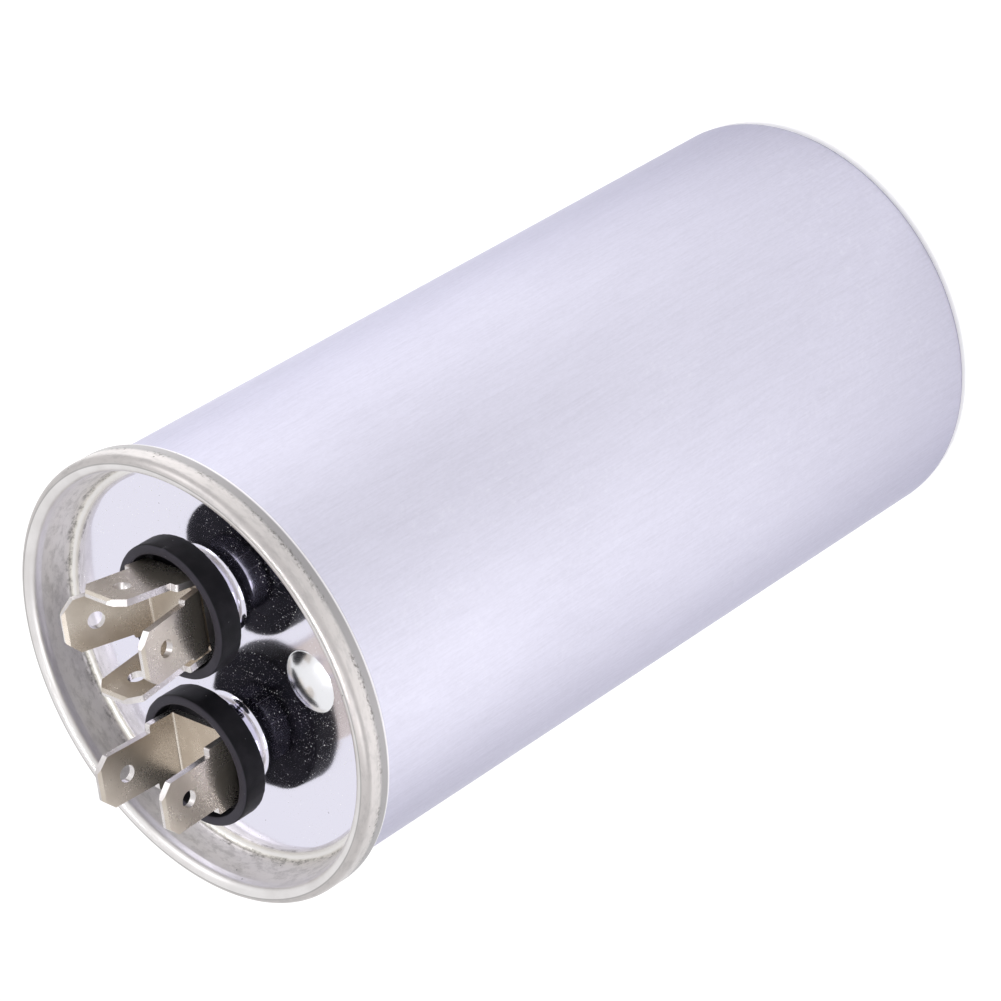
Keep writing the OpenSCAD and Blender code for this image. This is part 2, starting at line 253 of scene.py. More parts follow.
class Shader(NodeWork):
    """One material under construction."""

    def __init__(self, name: str) -> None:
        """Starts an empty material with a Principled shader.

        Args:
            name: The material's name.
        """
        self.material = bpy.data.materials.new(name)
        self.material.use_nodes = True
        super().__init__(self.material.node_tree)
        self.surface = self.node("ShaderNodeBsdfPrincipled")
        surface = {"Surface": self.surface.outputs[0]}
        self.output = self.node("ShaderNodeOutputMaterial", None, surface)
        self.place = self.node("ShaderNodeTexCoord").outputs["Object"]

    def put(self, **inputs: Any) -> None:
        """Sets or links inputs of the Principled shader; an underscore stands for a space."""
        for key, value in inputs.items():
            self.feed(self.surface.inputs[key.replace("_", " ")], value)

    def axes(self) -> tuple[Value, Value, Value]:
        """Splits the object coordinates.

        Returns:
            The X, Y and Z coordinates, in millimetres.
        """
        node = self.node("ShaderNodeSeparateXYZ", None, {0: self.place})
        x, y, z = (Value(self, socket) * (1 / MM) for socket in node.outputs)
        return x, y, z

    def read(self, cells: Triple, lay: Lay = Lay.ALONG_AXES) -> bpy.types.NodeSocket:
        """The vector at which a pattern is read.

        Args:
            cells: The pattern's cells, counted as Grain says.
            lay: How it lies.

        Returns:
            The vector socket.
        """
        if lay is Lay.ROUND_Z:
            x, y, z = self.axes()
            spot = (y.angle_over(x), (x * x + y * y).root(), z)
            inputs = {i: value * cells[i] for i, value in enumerate(spot)}
            return self.node("ShaderNodeCombineXYZ", None, inputs).outputs[0]
        inputs = {0: self.place, 1: tuple(count / MM for count in cells)}
        return self.node("ShaderNodeVectorMath", {"operation": "MULTIPLY"}, inputs).outputs[0]

    def noise(self, grain: Grain) -> Value:
        """Reads a noise pattern.

        Args:
            grain: The pattern.

        Returns:
            Its value, about 0.5 on average.
        """
        vector = self.read(grain.cells, grain.lay)
        inputs = {"Vector": vector, "Scale": 1.0, "Detail": grain.octaves, "Roughness": grain.rough}
        return Value(self, self.node("ShaderNodeTexNoise", None, inputs).outputs[0])

    def mask(self, grain: Grain) -> Value:
        """A noise pattern's value, stepped between its limits."""
        return self.noise(grain).step(grain.cut)

    def specks(self, specks: Specks) -> Value:
        """Small round specks, one in each of a share of the cells of a Voronoi texture.

        Args:
            specks: Their pattern.

        Returns:
            1 on a speck and 0 elsewhere.
        """
        settings = {"voronoi_dimensions": "2D" if specks.flat else "3D"}
        inputs = {"Vector": self.read((1.0, 1.0, 1.0)), "Scale": specks.cells}
        node = self.node("ShaderNodeTexVoronoi", settings, inputs)
        pick = self.node("ShaderNodeSeparateColor", None, {0: node.outputs["Color"]})
        spare = 1 - specks.share
        chosen = Value(self, pick.outputs[0]).step((spare, spare + specks.pick_edge))
        radius = Value(self, pick.outputs[1]) * specks.size * (1 - specks.smallest)
        radius = radius + specks.size * specks.smallest
        inside = radius - Value(self, node.outputs["Distance"])
        return inside.step((0.0, specks.size * specks.soft_edge)) * chosen

    def blend(self, factor: Any, first: Any, second: Any) -> bpy.types.NodeSocket:
        """Mixes two colours.

        Args:
            factor: Share of the second colour.
            first: The first colour or its socket.
            second: The second colour or its socket.

        Returns:
            The mixed colour's socket.
        """
        node = self.node("ShaderNodeMix", {"data_type": "RGBA"}, {"Factor": factor})
        colours = [socket for socket in node.inputs if socket.type == "RGBA"]
        self.feed(colours[0], first)
        self.feed(colours[1], second)
        return next(socket for socket in node.outputs if socket.type == "RGBA")

    def bump(self, height: Value, depth: float) -> None:
        """Feeds a Bump node to the shader's normal.

        Args:
            height: The height pattern, from 0 to 1.
            depth: The depth of the pattern in millimetres.
        """
        inputs = {"Height": height, "Strength": 1.0, "Distance": depth * MM}
        self.put(Normal=self.node("ShaderNodeBump", None, inputs).outputs[0])


def weighed(values: Iterable[Value], shares: Iterable[float]) -> Value:
    """The sum of values, each times its share."""
    return sum(value * share for value, share in zip(values, shares))


# ---------------------------------------------------------------------------
# Finishes
# ---------------------------------------------------------------------------


@dataclass(frozen=True)
class DrawnAluminium:
    """Satin can with fine lines along its height, soft clouds and rubbed spots."""

    colour: Colour = (0.545, 0.535, 0.625)
    dark_line: Colour = (0.475, 0.465, 0.545)
    rubbed: Colour = (0.66, 0.66, 0.71)
    edge_tint: Colour = (0.64, 0.64, 0.704)
    fine: Grain = Grain((5.0, 5.0, 0.22), 4, cut=(0.3, 0.8))
    broad: Grain = Grain((1.1, 1.1, 0.10), 4, cut=(0.3, 0.75))
    cloud: Grain = Grain((0.05, 0.05, 0.03), 3)
    grain: Grain = Grain((4.0, 4.0, 1.5), 4, 0.7, cut=(0.35, 0.65))
    rubs: Grain = Grain((0.9, 1.3, 1.1), 5, 0.7, cut=(0.52, 0.72))
    rub_spread: Grain = Grain((0.06, 0.06, 0.05), 2, cut=(0.45, 0.62))
    line_shares: tuple[float, ...] = (0.40, 0.15, 0.15, 0.30)
    bump_shares: tuple[float, ...] = (0.5, 0.3, 0.2)
    rub_share: float = 0.22
    least_roughness: float = 0.24
    roughness_swing: float = 0.12
    anisotropy: float = 0.55
    depth: float = 0.006

    def make(self) -> bpy.types.Material:
        """Builds the material.

        Returns:
            The material.
        """
        s = Shader("drawn_aluminium")
        grains = (self.fine, self.broad, self.cloud, self.grain)
        fine, broad, cloud, grain = values = [s.noise(item) for item in grains]
        cuts = (value.step(item.cut) for value, item in zip(values, grains))
        lines = weighed(cuts, self.line_shares)
        rubs = s.mask(self.rubs) * s.mask(self.rub_spread) * self.rub_share
        base = s.blend(lines, self.colour, self.dark_line)
        s.put(
            Base_Color=s.blend(rubs, base, self.rubbed),
            Metallic=1.0,
            Roughness=(lines + cloud) * self.roughness_swing + self.least_roughness,
            Anisotropic=self.anisotropy,
            Specular_Tint=self.edge_tint,
        )
        s.bump(weighed((fine, broad, grain), self.bump_shares), self.depth)
        return s.material


@dataclass(frozen=True)
class LidZones:
    """Radii and heights at which the lid's finish changes, from the first to the second."""

    rim_radius: Limits = (22.6, 23.0)
    crown_height: Limits = (101.2, 102.7)
    top_height: Limits = (102.55, 102.95)
    top_radius: Limits = (24.55, 24.75)
    side_radius: Limits = (25.80, 25.95)
    shoulder_height: Limits = (101.35, 101.85)
    hem_height: Limits = (100.65, 100.40)
    fillet_start: Limits = (22.7, 22.9)
    fillet_end: Limits = (23.62, 23.45)
    foot_radius: Limits = (23.54, 23.64)
    foot_height: Limits = (99.60, 99.30)
    seam_height: float = 101.65
    seam_reach: Limits = (0.55, 0.0)
    crease_start: Limits = (25.68, 25.76)
    crease_end: Limits = (25.92, 25.84)
    crease_height: Limits = (102.4, 102.7)


@dataclass(frozen=True)
class BrightTinplate:
    """Mirror-bright dusty panel inside a satin rim with handling marks, with painted shade and a
    painted highlight on the seam.
    """

    panel: Colour = (0.775, 0.76, 0.87)
    wall: Colour = (0.80, 0.775, 0.735)
    wall_streak: Colour = (0.55, 0.53, 0.495)
    crown: Colour = (0.76, 0.74, 0.74)
    shoulder: Colour = (0.52, 0.492, 0.486)
    # Painted shade: the darker colour of the seam's outer side below its shoulder, which the marks
    # above it take too.
    outside: Colour = (0.29, 0.28, 0.285)
    # Painted highlight: the light colour along the seam's hem.
    hem_highlight: Colour = (0.80, 0.78, 0.80)
    fillet: Colour = (0.79, 0.77, 0.76)
    # Dark colour of grime and pits, of the darker line at the wall's foot, and of the painted shade
    # in the crease.
    grime_and_shade: Colour = (0.06, 0.055, 0.05)
    dust: Colour = (0.80, 0.80, 0.80)
    zones: LidZones = LidZones()
    band: Grain = Grain((12.0, 1.2, 1.2), 6, 0.7, lay=Lay.ROUND_Z)
    fine: Grain = Grain((22.0, 5.0, 5.0), 4, 0.6, lay=Lay.ROUND_Z)
    speckle: Grain = Grain((60.0, 3.0, 3.0), 4, 0.7, lay=Lay.ROUND_Z)
    cloud: Grain = Grain((0.30, 0.30, 0.30), 4)
    waves: Grain = Grain((0.10, 0.10, 0.10), 1)
    dust_spread: Grain = Grain((0.16, 0.16, 0.16), 3, cut=(0.34, 0.62))
    large_dust: Specks = Specks(0.17, 0.22, 2.2, flat=True)
    small_dust: Specks = Specks(0.20, 0.30, 4.5, flat=True)
    pits: Specks = Specks(0.12, 0.25, 0.9)
    streak_cut: Limits = (0.42, 0.66)
    crown_cut: Limits = (0.35, 0.7)
    outside_cut: Limits = (0.45, 0.65)
    foot_cut: Limits = (0.42, 0.60)
    seam_cut: Limits = (0.46, 0.66)
    patch_cut: Limits = (0.42, 0.58)
    streak_share: float = 0.8
    crown_share: float = 0.7
    cloud_share: float = 0.30
    mark_share: float = 0.30
    hem_share: float = 0.8
    # Strength of the darker speckled line along the wall's foot.
    foot_darkening: float = 0.6
    least_grime: float = 0.15
    patch_grime: float = 0.8
    # Painted shade: strength of the thin dark line along the crease.
    crease_shade: float = 0.55
    grime_and_shade_share: float = 0.85
    small_dust_share: float = 0.45
    pit_share: float = 0.8
    panel_pits: float = 0.4
    panel_roughness: float = 0.09
    rim_roughness: float = 0.27
    rim_swings: tuple[float, ...] = (0.10, 0.08)
    dust_roughness: float = 0.6
    wave_height: float = 0.85
    rim_heights: tuple[float, ...] = (0.05, 0.03)
    depth: float = 0.12

    def make(self) -> bpy.types.Material:
        """Builds the material.

        Returns:
            The material.
        """
        s, at = Shader("bright_tinplate"), self.zones
        x, y, z = s.axes()
        radius = (x * x + y * y).root()
        rim, side = radius.step(at.rim_radius), radius.step(at.side_radius)
        band, fine = s.noise(self.band), s.noise(self.fine)
        cloud, speckle = s.noise(self.cloud), s.noise(self.speckle)

        # The bare plate: the rim's wall, crown, outside and fillet, then the panel. The outside is
        # painted darker below its shoulder, as shade, and light along its hem, as a highlight.
        streaks = band.step(self.streak_cut) * self.streak_share
        wall = s.blend(streaks, self.wall, self.wall_streak)
        wall = s.blend(z.step(at.crown_height) * self.crown_share, wall, self.crown)
        clouds = cloud.step(self.crown_cut) * self.cloud_share
        crown = s.blend(clouds, self.crown, self.shoulder)
        colour = s.blend(z.step(at.top_height) * radius.step(at.top_radius), wall, crown)
        # Painted shade below the shoulder, then a painted highlight along the hem.
        outside = s.blend(z.step(at.shoulder_height), self.outside, self.shoulder)
        marks = band.step(self.outside_cut) * self.mark_share
        outside = s.blend(marks, outside, self.outside)
        outside = s.blend(z.step(at.hem_height) * self.hem_share, outside, self.hem_highlight)
        colour = s.blend(side, colour, outside)
        fillet = radius.step(at.fillet_start) * radius.step(at.fillet_end)
        colour = s.blend(fillet, colour, self.fillet)
        colour = s.blend(rim, self.panel, colour)

        # A darker speckled line at the wall's foot, grime along the seam, and painted shade in the
        # crease over it.
        # A darker speckled line along the wall's foot.
        foot = radius.step(at.foot_radius) * z.step(at.foot_height)
        foot = foot * speckle.step(self.foot_cut) * band.step(self.foot_cut) * self.foot_darkening
        seam = side * (z - at.seam_height).size().step(at.seam_reach)
        patches = cloud.step(self.patch_cut) * self.patch_grime + self.least_grime
        seam = seam * speckle.step(self.seam_cut) * patches
        # Painted shade: a thin dark line along the crown's outer top, standing for the shade of the
        # seam's crease.
        crease = radius.step(at.crease_start) * radius.step(at.crease_end)
        crease = crease * z.step(at.crease_height) * self.crease_shade
        colour = s.blend(foot.larger(seam).larger(crease) * self.grime_and_shade_share, colour, self.grime_and_shade)

        # Dust on the panel, and pits.
        dust = s.specks(self.large_dust).larger(s.specks(self.small_dust) * self.small_dust_share)
        dust = dust * (1 - rim) * s.mask(self.dust_spread)
        pits = s.specks(self.pits) * (rim * (1 - self.panel_pits) + self.panel_pits)
        colour = s.blend(dust, colour, self.dust)
        s.put(
            Base_Color=s.blend(pits * self.pit_share, colour, self.grime_and_shade),
            Metallic=1 - dust,
            Roughness=rim * (self.rim_roughness - self.panel_roughness)
            + self.panel_roughness
            + weighed((band, fine), self.rim_swings) * rim
            + dust * self.dust_roughness,
        )
        marks = weighed((band, fine), self.rim_heights) * rim
        s.bump(s.noise(self.waves) * self.wave_height + marks, self.depth)
        return s.material


@dataclass(frozen=True)
class PolishedSolder:
    """Bright domed solder."""

    colour: Colour = (0.84, 0.84, 0.87)
    pit: Colour = (0.2, 0.2, 0.2)
    cloud: Grain = Grain((0.6, 0.6, 0.6), 3)
    pits: Specks = Specks(0.09, 0.2, 1.8)
    least_roughness: float = 0.16
    roughness_swing: float = 0.10
    depth: float = 0.02

    def make(self) -> bpy.types.Material:
        """Builds the material.

        Returns:
            The material.
        """
        s = Shader("polished_solder")
        cloud = s.noise(self.cloud)
        s.put(
            Base_Color=s.blend(s.specks(self.pits), self.colour, self.pit),
            Metallic=1.0,
            Roughness=cloud * self.roughness_swing + self.least_roughness,
        )
        s.bump(cloud, self.depth)
        return s.material


@dataclass(frozen=True)
class MouldedBlack:
    """Fine matt black moulding, paler on its top face, with a trace of dust."""

    colour: Colour = (0.006, 0.006, 0.008)
    worn: Colour = (0.012, 0.011, 0.014)
    rim: Colour = (0.034, 0.031, 0.041)
    dust: Colour = (0.40, 0.40, 0.42)
    rim_height: Limits = (104.38, 104.5)
    cloud: Grain = Grain((0.5, 0.5, 0.5), 4, cut=(0.35, 0.7))
    grain: Grain = Grain((9.0, 9.0, 9.0), 2)
    specks: Specks = Specks(0.10, 0.35, 1.4)
    dust_share: float = 0.6
    least_roughness: float = 0.40
    roughness_swing: float = 0.10
    specular: float = 0.12
    bump_shares: tuple[float, ...] = (0.5, 0.5)
    depth: float = 0.02

    def make(self) -> bpy.types.Material:
        """Builds the material.

        Returns:
            The material.
        """
        s = Shader("moulded_black")
        cloud, grain = s.noise(self.cloud), s.noise(self.grain)
        base = s.blend(cloud.step(self.cloud.cut), self.colour, self.worn)
        # Paler on the top face, above a height.
        base = s.blend(s.axes()[2].step(self.rim_height), base, self.rim)
        s.put(
            Base_Color=s.blend(s.specks(self.specks) * self.dust_share, base, self.dust),
            Roughness=grain * self.roughness_swing + self.least_roughness,
            Specular_IOR_Level=self.specular,
        )
        s.bump(weighed((grain, cloud), self.bump_shares), self.depth)
        return s.material


@dataclass(frozen=True)
class TinnedSteel:
    """Satin tin plate on stamped steel, a little warm."""

    name: str = "tinned_steel"
    colour: Colour = (0.61, 0.555, 0.495)
    dark: Colour = (0.53, 0.475, 0.415)
    pit: Colour = (0.12, 0.11, 0.10)
    cloud: Grain = Grain((0.30, 0.30, 0.30), 3)
    grain: Grain = Grain((4.0, 4.0, 4.0), 3, 0.6)
    pits: Specks = Specks(0.11, 0.3, 1.1)
    tone_shares: tuple[float, ...] = (0.8, 0.2)
    tone_cut: Limits = (0.38, 0.66)
    pit_share: float = 0.6
    metallic: float = 0.90
    least_roughness: float = 0.21
    roughness_swings: tuple[float, ...] = (0.08, 0.06)
    depth: float = 0.002

    def make(self) -> bpy.types.Material:
        """Builds the material.

        Returns:
            The material.
        """
        s = Shader(self.name)
        values = cloud, grain = s.noise(self.cloud), s.noise(self.grain)
        tone = weighed(values, self.tone_shares).step(self.tone_cut)
        base = s.blend(tone, self.colour, self.dark)
        s.put(
            Base_Color=s.blend(s.specks(self.pits) * self.pit_share, base, self.pit),
            Metallic=self.metallic,
            Roughness=weighed(values, self.roughness_swings) + self.least_roughness,
        )
        s.bump(grain, self.depth)
        return s.material


@dataclass(frozen=True)
class PlainMatt:
    """A matt finish with soft changes of tone, for the pieces inside the can."""

    name: str
    light: Colour
    dark: Colour
    roughness: float = 0.7
    cells: Triple = (0.8, 0.8, 0.8)
    metallic: float = 0.0
    depth: float = 0.03
    octaves: float = 5.0
    rough: float = 0.6
    roughness_swing: float = 0.2

    def make(self) -> bpy.types.Material:
        """Builds the material.

        Returns:
            The material.
        """
        s = Shader(self.name)
        grain = Grain(self.cells, self.octaves, self.rough)
        cloud = s.noise(grain)
        middle = self.roughness - self.roughness_swing / 2
        s.put(
            Base_Color=s.blend(cloud.step(grain.cut), self.light, self.dark),
            Metallic=self.metallic,
            Roughness=cloud * self.roughness_swing + middle,
        )
        s.bump(cloud, self.depth)
        return s.material


# ---------------------------------------------------------------------------
# Mesh building
# ---------------------------------------------------------------------------


def arc(
    centre: Point, radius: float, start: float, end: float, steps: int, skip_first: bool = False
) -> list[Point]:
    """Points on an arc.

    Args:
        centre: The centre.
        radius: The radius.
        start: The first angle in degrees.
        end: The last angle in degrees.
        steps: How many segments it has.
        skip_first: Whether the first point is left out.

    Returns:
        The points, in order.
    """
    angles = (
        math.radians(start + (end - start) * i / steps) for i in range(int(skip_first), steps + 1)
    )
    return [(centre[0] + radius * math.cos(a), centre[1] + radius * math.sin(a)) for a in angles]


def rounded(points: Sequence[Corner], steps: int = 6, straight: float = 1e-4) -> list[Point]:
    """A line of points with its corners rounded.

    Args:
        points: (x, y, corner radius) for each point; the ends' radii are not used.
        steps: Segments in each rounded corner.
        straight: Corners that turn by less, in radians, stay as they are.

    Returns:
        The points of the rounded line.
    """
    made: list[Point] = [points[0][:2]]
    for before, here, after in zip(points, points[1:], points[2:]):
        corner, radius = Vector(here[:2]), here[2]
        back = (Vector(before[:2]) - corner).normalized()
        ahead = (Vector(after[:2]) - corner).normalized()
        turn = math.acos(max(-1.0, min(1.0, back.dot(ahead))))
        if radius <= 0 or turn > math.pi - straight:
            made.append(here[:2])
            continue
        reach = radius / math.tan(turn / 2)
        centre = corner + (back + ahead).normalized() * radius / math.sin(turn / 2)
        first = corner + back * reach - centre
        sign = 1.0 if first.cross(corner + ahead * reach - centre) > 0 else -1.0
        for i in range(steps + 1):
            angle = sign * (math.pi - turn) * i / steps
            cos, sin = math.cos(angle), math.sin(angle)
            x, y = first.x * cos - first.y * sin, first.x * sin + first.y * cos
            made.append((centre.x + x, centre.y + y))
    made.append(points[-1][:2])
    return made


def shift(x: float, y: float, z: float) -> Matrix:
    """A move by millimetres."""
    return Matrix.Translation((x * MM, y * MM, z * MM))


def hold(name: str, data: bpy.types.ID) -> bpy.types.Object:
    """Puts a mesh, a lamp or a camera in the scene.

    Args:
        name: The object's name.
        data: The mesh, lamp or camera.

    Returns:
        The object.
    """
    holder = bpy.data.objects.new(name, data)
    bpy.context.scene.collection.objects.link(holder)
    return holder


def apply_modifiers(holder: bpy.types.Object) -> bpy.types.Mesh:
    """Runs an object's modifiers.

    Args:
        holder: The object, which is used up with its mesh.

    Returns:
        The plain mesh that they make.
    """
    raw = holder.data
    graph = bpy.context.evaluated_depsgraph_get()
    made = bpy.data.meshes.new_from_object(
        holder.evaluated_get(graph), preserve_all_data_layers=True, depsgraph=graph
    )
    bpy.data.objects.remove(holder)
    bpy.data.meshes.remove(raw)
    return made


class RevolveTree:
    """The Geometry Nodes tree that sweeps a profile round a circle."""

    INPUTS: tuple[tuple[str, str], ...] = (
        ("Segments", "NodeSocketInt"),
        ("Path Radius", "NodeSocketFloat"),
        ("Weld Distance", "NodeSocketFloat"),
        ("Material", "NodeSocketMaterial"),
    )

    def __init__(self) -> None:
        """Builds the tree: profile mesh in, closed revolved mesh out."""
        self.tree = bpy.data.node_groups.new("revolve_profile", "GeometryNodeTree")
        face, new = self.tree.interface, self.tree.nodes.new
        face.new_socket("Profile", in_out="INPUT", socket_type="NodeSocketGeometry")
        for name, kind in self.INPUTS:
            face.new_socket(name, in_out="INPUT", socket_type=kind)
        face.new_socket("Mesh", in_out="OUTPUT", socket_type="NodeSocketGeometry")
        source, sink = new("NodeGroupInput"), new("NodeGroupOutput")
        line = new("GeometryNodeMeshToCurve")
        path = new("GeometryNodeCurvePrimitiveCircle")
        sweep = new("GeometryNodeCurveToMesh")
        weld = new("GeometryNodeMergeByDistance")
        smooth = new("GeometryNodeSetShadeSmooth")
        real = new("GeometryNodeRealizeInstances")
        dress = new("GeometryNodeSetMaterial")
        for giver, output, taker, target in (
            (source, "Profile", line, "Mesh"),
            (source, "Segments", path, "Resolution"),
            (source, "Path Radius", path, "Radius"),
            (path, "Curve", sweep, "Curve"),
            (line, "Curve", sweep, "Profile Curve"),
            (sweep, "Mesh", weld, "Geometry"),
            (source, "Weld Distance", weld, "Distance"),
            (weld, "Geometry", smooth, "Geometry"),
            (smooth, "Geometry", real, "Geometry"),
            (real, "Geometry", dress, "Geometry"),
            (source, "Material", dress, "Material"),
            (dress, "Geometry", sink, "Mesh"),
        ):
            self.tree.links.new(giver.outputs[output], taker.inputs[target])

    def _id(self, name: str) -> str:
        """Finds one of the tree's inputs.

        Args:
            name: The input's name.

        Returns:
            Its identifier.
        """
        return next(
            item.identifier
            for item in self.tree.interface.items_tree
            if item.item_type == "SOCKET" and item.in_out == "INPUT" and item.name == name
        )

    def sweep(
        self,
        profile: Sequence[Point],
        material: bpy.types.Material,
        closed: bool = False,
        segments: int = 256,
        path_radius: float = 0.5,
    ) -> bpy.types.Mesh:
        """Revolves a profile about the Z axis.

        Args:
            profile: (radius, height) points in millimetres.
            material: The mesh's material.
            closed: Whether the profile's last point joins its first.
            segments: How many steps go round.
            path_radius: Radius of the circle that carries the profile, in millimetres.

        Returns:
            The mesh, in metres.
        """
        seed = bpy.data.meshes.new("profile")
        count = len(profile)
        edges = [(i, i + 1) for i in range(count - 1)] + ([(count - 1, 0)] if closed else [])
        places = [(r * MM - path_radius * MM, -z * MM, 0.0) for r, z in profile]
        seed.from_pydata(places, edges, [])
        holder = hold("profile", seed)
        modifier = holder.modifiers.new("revolve", "NODES")
        modifier.node_group = self.tree
        values = (segments, path_radius * MM, WELD * MM, material)
        for (name, _), value in zip(self.INPUTS, values):
            modifier[self._id(name)] = value
        return apply_modifiers(holder)


class FlatSheet:
    """A flat sheet in the making: its outline, holes and fold lines, to be cut in triangles."""

    def __init__(self) -> None:
        """Starts with nothing drawn."""
        self.points: list[Vector] = []
        self.edges: list[tuple[int, int]] = []
        self.holes: list[tuple[Vector, float]] = []

    def loop(self, points: Sequence[Point]) -> None:
        """Draws a closed line.

        Args:
            points: The points that it goes through.
        """
        first, count = len(self.points), len(points)
        self.points += map(Vector, points)
        self.edges += [(first + i, first + (i + 1) % count) for i in range(count)]

    def circle(self, centre: Point, radius: float, count: int) -> None:
        """Draws a circle of a number of segments."""
        self.loop(arc(centre, radius, 0, 360, count)[:-1])

    def hole(self, centre: Point, radius: float, count: int) -> None:
        """Draws a round hole of a number of segments."""
        self.circle(centre, radius, count)
        self.holes.append((Vector(centre), radius))

    def line_across(self, half_width: float, along: float) -> None:
        """Draws a line across the sheet, at a place along it."""
        self.points += [Vector((-half_width, along)), Vector((half_width, along))]
        self.edges.append((len(self.points) - 2, len(self.points) - 1))

    def is_clear(self, spot: Vector, gap: float = 0.0) -> bool:
        """Whether a spot lies outside every hole, and farther from it than a gap."""
        return all((spot - centre).length > radius + gap for centre, radius in self.holes)

    def cut(self, same: float) -> tuple[list[Vector], list[list[int]]]:
        """Cuts the sheet into triangles and leaves its holes open.

        Args:
            same: The distance, in millimetres, within which two points are one.

        Returns:
            The points and the triangles.
        """
        points, _, faces, *_ = delaunay_2d_cdt(self.points, self.edges, [], 1, same)
        middles = (sum((points[i] for i in face), Vector((0, 0))) / len(face) for face in faces)
        return list(points), [list(f) for f, middle in zip(faces, middles) if self.is_clear(middle)]


def finish_mesh(
    mesh: bpy.types.Mesh,
    edit: Callable[[bmesh.types.BMesh], None] | None = None,
    outwards: bool = True,
    sharp_degrees: float = 35.0,
) -> bpy.types.Mesh:
    """Welds a mesh, turns its faces outwards and marks its sharp edges.

    Args:
        mesh: The mesh, which is changed.
        edit: A last change to the bmesh, made before the faces are turned.
        outwards: Whether the faces are recalculated.
        sharp_degrees: Edges that bend by more are kept sharp.

    Returns:
        The same mesh.
    """
    work = bmesh.new()
    work.from_mesh(mesh)
    bmesh.ops.remove_doubles(work, verts=work.verts, dist=WELD * MM)
    if edit:
        edit(work)
    if outwards:
        bmesh.ops.recalc_face_normals(work, faces=work.faces)
    limit = math.radians(sharp_degrees)
    for face in work.faces:
        face.smooth = True
    for edge in work.edges:
        edge.smooth = not (len(edge.link_faces) == 2 and edge.calc_face_angle(0.0) > limit)
    work.to_mesh(mesh)
    work.free()
    mesh.update()
    return mesh


def add_piece(name: str, mesh: bpy.types.Mesh, slot: Slot, *stands_for: str) -> None:
    """Puts a finished mesh in the scene and ties it to the frame.

    Args:
        name: The piece's name.
        mesh: The mesh, in place and with its materials.
        slot: The record's slot that its finish comes from; not used.
        stands_for: The CAD nodes that it replaces.
    """
    mesh.name = name
    piece = hold(name, mesh)
    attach(piece, BODY)
    for node in stands_for:
        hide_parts(node)
    log.info("piece %s: %d faces", name, len(mesh.polygons))


# ---------------------------------------------------------------------------
# Sub-assemblies
# ---------------------------------------------------------------------------


@dataclass
class Can:
    """The drawn can, with the hook that holds the lid's seam."""

    revolve: RevolveTree
    radius: float = 25.4
    wall: float = 0.35
    floor: float = 0.6
    foot_radius: float = 1.4
    wall_middle: float = 50.0
    hook_centre: Point = (25.625, 102.825)
    hook_inner: float = 0.225
    hook_end: float = 100.69
    foot_steps: int = 12
    hook_steps: int = 8

    def profile(self) -> list[Point]:
        """Draws the closed half section.

        Returns:
            Its points, from the axis along the outside and back inside.
        """
        foot = (self.radius - self.foot_radius, self.foot_radius)
        bend = self.foot_radius - self.wall
        inner_foot = (self.radius - self.wall - bend, self.floor + bend)
        middle, top = self.hook_centre
        outer_hook = self.hook_inner + self.wall
        return [
            (0.0, 0.0),
            *arc(foot, self.foot_radius, -90, 0, self.foot_steps),
            (self.radius, self.wall_middle),
            (self.radius, top),
            *arc(self.hook_centre, self.hook_inner, 180, 0, self.hook_steps, skip_first=True),
            (middle + self.hook_inner, self.hook_end),
            (middle + outer_hook, self.hook_end),
            *arc(self.hook_centre, outer_hook, 0, 180, self.hook_steps),
            *arc(inner_foot, bend, 0, -90, self.foot_steps // 2),
            (0.0, self.floor),
        ]

    def build(self, material: bpy.types.Material) -> None:
        """Makes the can's piece.

        Args:
            material: The can's material.
        """
        mesh = self.revolve.sweep(self.profile(), material)
        add_piece("can_shell", finish_mesh(mesh), Slot.CAN, "can")


